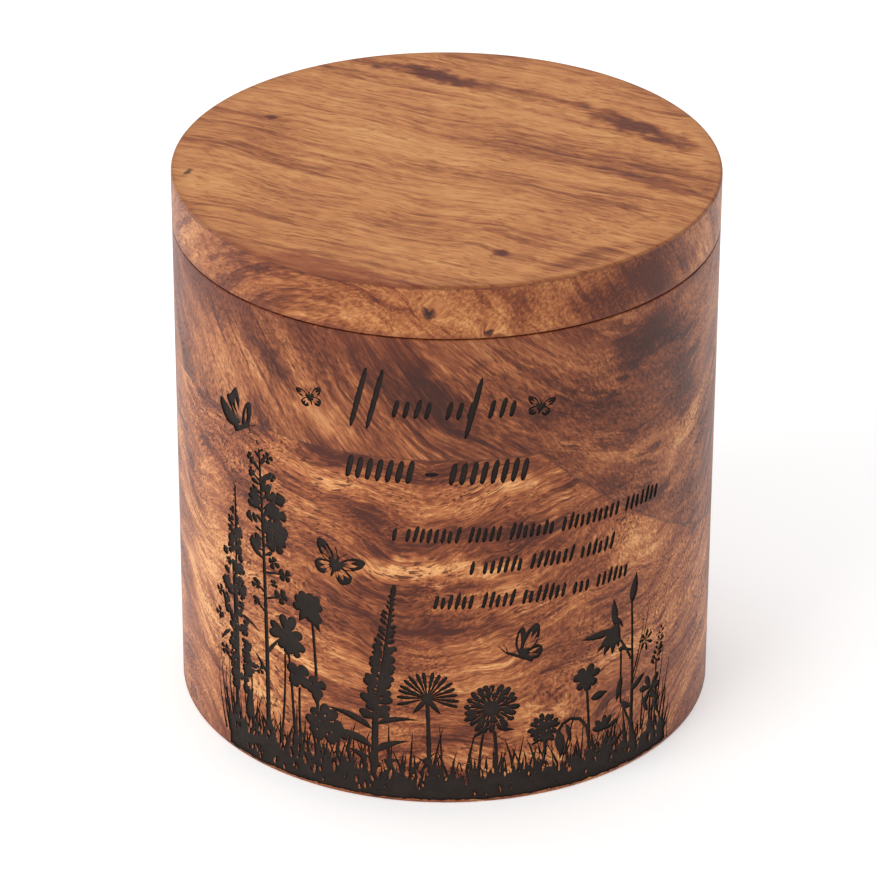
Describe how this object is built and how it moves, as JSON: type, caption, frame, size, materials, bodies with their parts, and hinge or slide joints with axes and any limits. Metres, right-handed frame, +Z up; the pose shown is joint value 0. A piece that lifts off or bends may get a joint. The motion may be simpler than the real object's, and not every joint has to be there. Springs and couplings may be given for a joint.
{
  "type": "cremation urn box",
  "caption": "Round turned wooden urn with a flat lift-off lid and a shallow engraved meadow of flowers and butterflies round the front.",
  "frame": {"origin": "centre of the underside, on the turning axis", "axes": "+Z up along the turning axis, -Y towards the engraved front"},
  "size_m": [0.12, 0.12, 0.1265],
  "materials": {
    "body_wood": "reddish brown acacia, satin oil, with charred laser engraving",
    "lid_wood": "golden brown acacia, satin oil"
  },
  "bodies": {
    "root": {"urn_body": "body_wood", "urn_lid": "lid_wood"}
  },
  "joints": []
}
